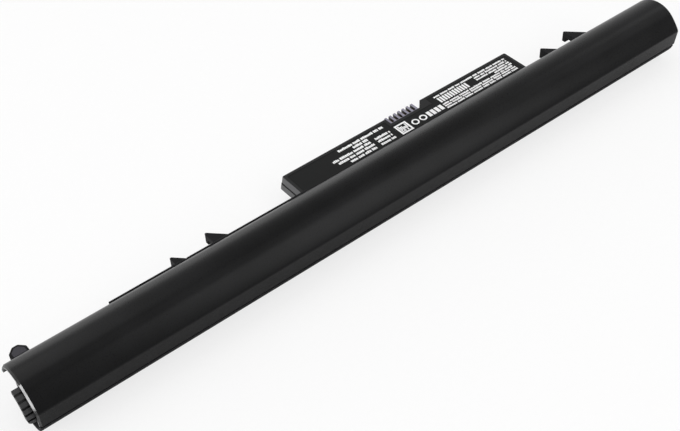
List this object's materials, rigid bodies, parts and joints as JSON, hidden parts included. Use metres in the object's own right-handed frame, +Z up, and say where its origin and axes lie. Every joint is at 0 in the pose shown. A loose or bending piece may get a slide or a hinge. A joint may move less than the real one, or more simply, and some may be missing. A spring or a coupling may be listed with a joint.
{
  "type": "laptop battery",
  "caption": "Bar-shaped laptop battery pack: domed cover over a row of round cells, a flat board panel with a slotted connector, and latch hooks along its back edge.",
  "frame": {"origin": "on the flat underside, below the cells' axis, halfway along the cover", "axes": "+X along the row of cells, away from the grooved tongue; +Y from the row towards the board panel; +Z up, away from the flat underside"},
  "size_m": [0.2709, 0.0379, 0.0208],
  "materials": {
    "case": "satin black, fine moulded texture",
    "label_film": "matte black printed film",
    "connector_plastic": "dark, smooth moulded",
    "contact_metal": "thin gold plate",
    "cell_sleeve": "shrink sleeve",
    "nickel_strip": "rolled nickel",
    "ring_paper": "fibre paper",
    "pad_foam": "closed-cell foam",
    "board_laminate": "green solder mask",
    "chip_moulding": "moulded epoxy",
    "fuse_body": "ceramic white",
    "resistor_body": "dull black",
    "capacitor_ceramic": "tan ceramic",
    "wire_sleeve": "red insulation",
    "lead_sleeve": "black sleeve, dipped bead"
  },
  "bodies": {
    "root": {"tray": "case", "outer_cover": "case", "board_lid": "case", "label": "label_film", "connector_housing": "connector_plastic", "contacts": "contact_metal", "cell_1": "cell_sleeve", "cell_2": "cell_sleeve", "cell_3": "cell_sleeve", "cell_4": "cell_sleeve", "series_link_1": "nickel_strip", "series_link_2": "nickel_strip", "series_link_3": "nickel_strip", "negative_bus": "nickel_strip", "positive_bus": "nickel_strip", "insulator_rings": "ring_paper", "near_end_pad": "pad_foam", "far_end_pad": "pad_foam", "circuit_board": "board_laminate", "gauge_chip": "chip_moulding", "power_switches": "chip_moulding", "fuse": "fuse_body", "sense_resistor": "resistor_body", "capacitors": "capacitor_ceramic", "sense_wire": "wire_sleeve", "thermistor": "lead_sleeve"}
  },
  "joints": []
}
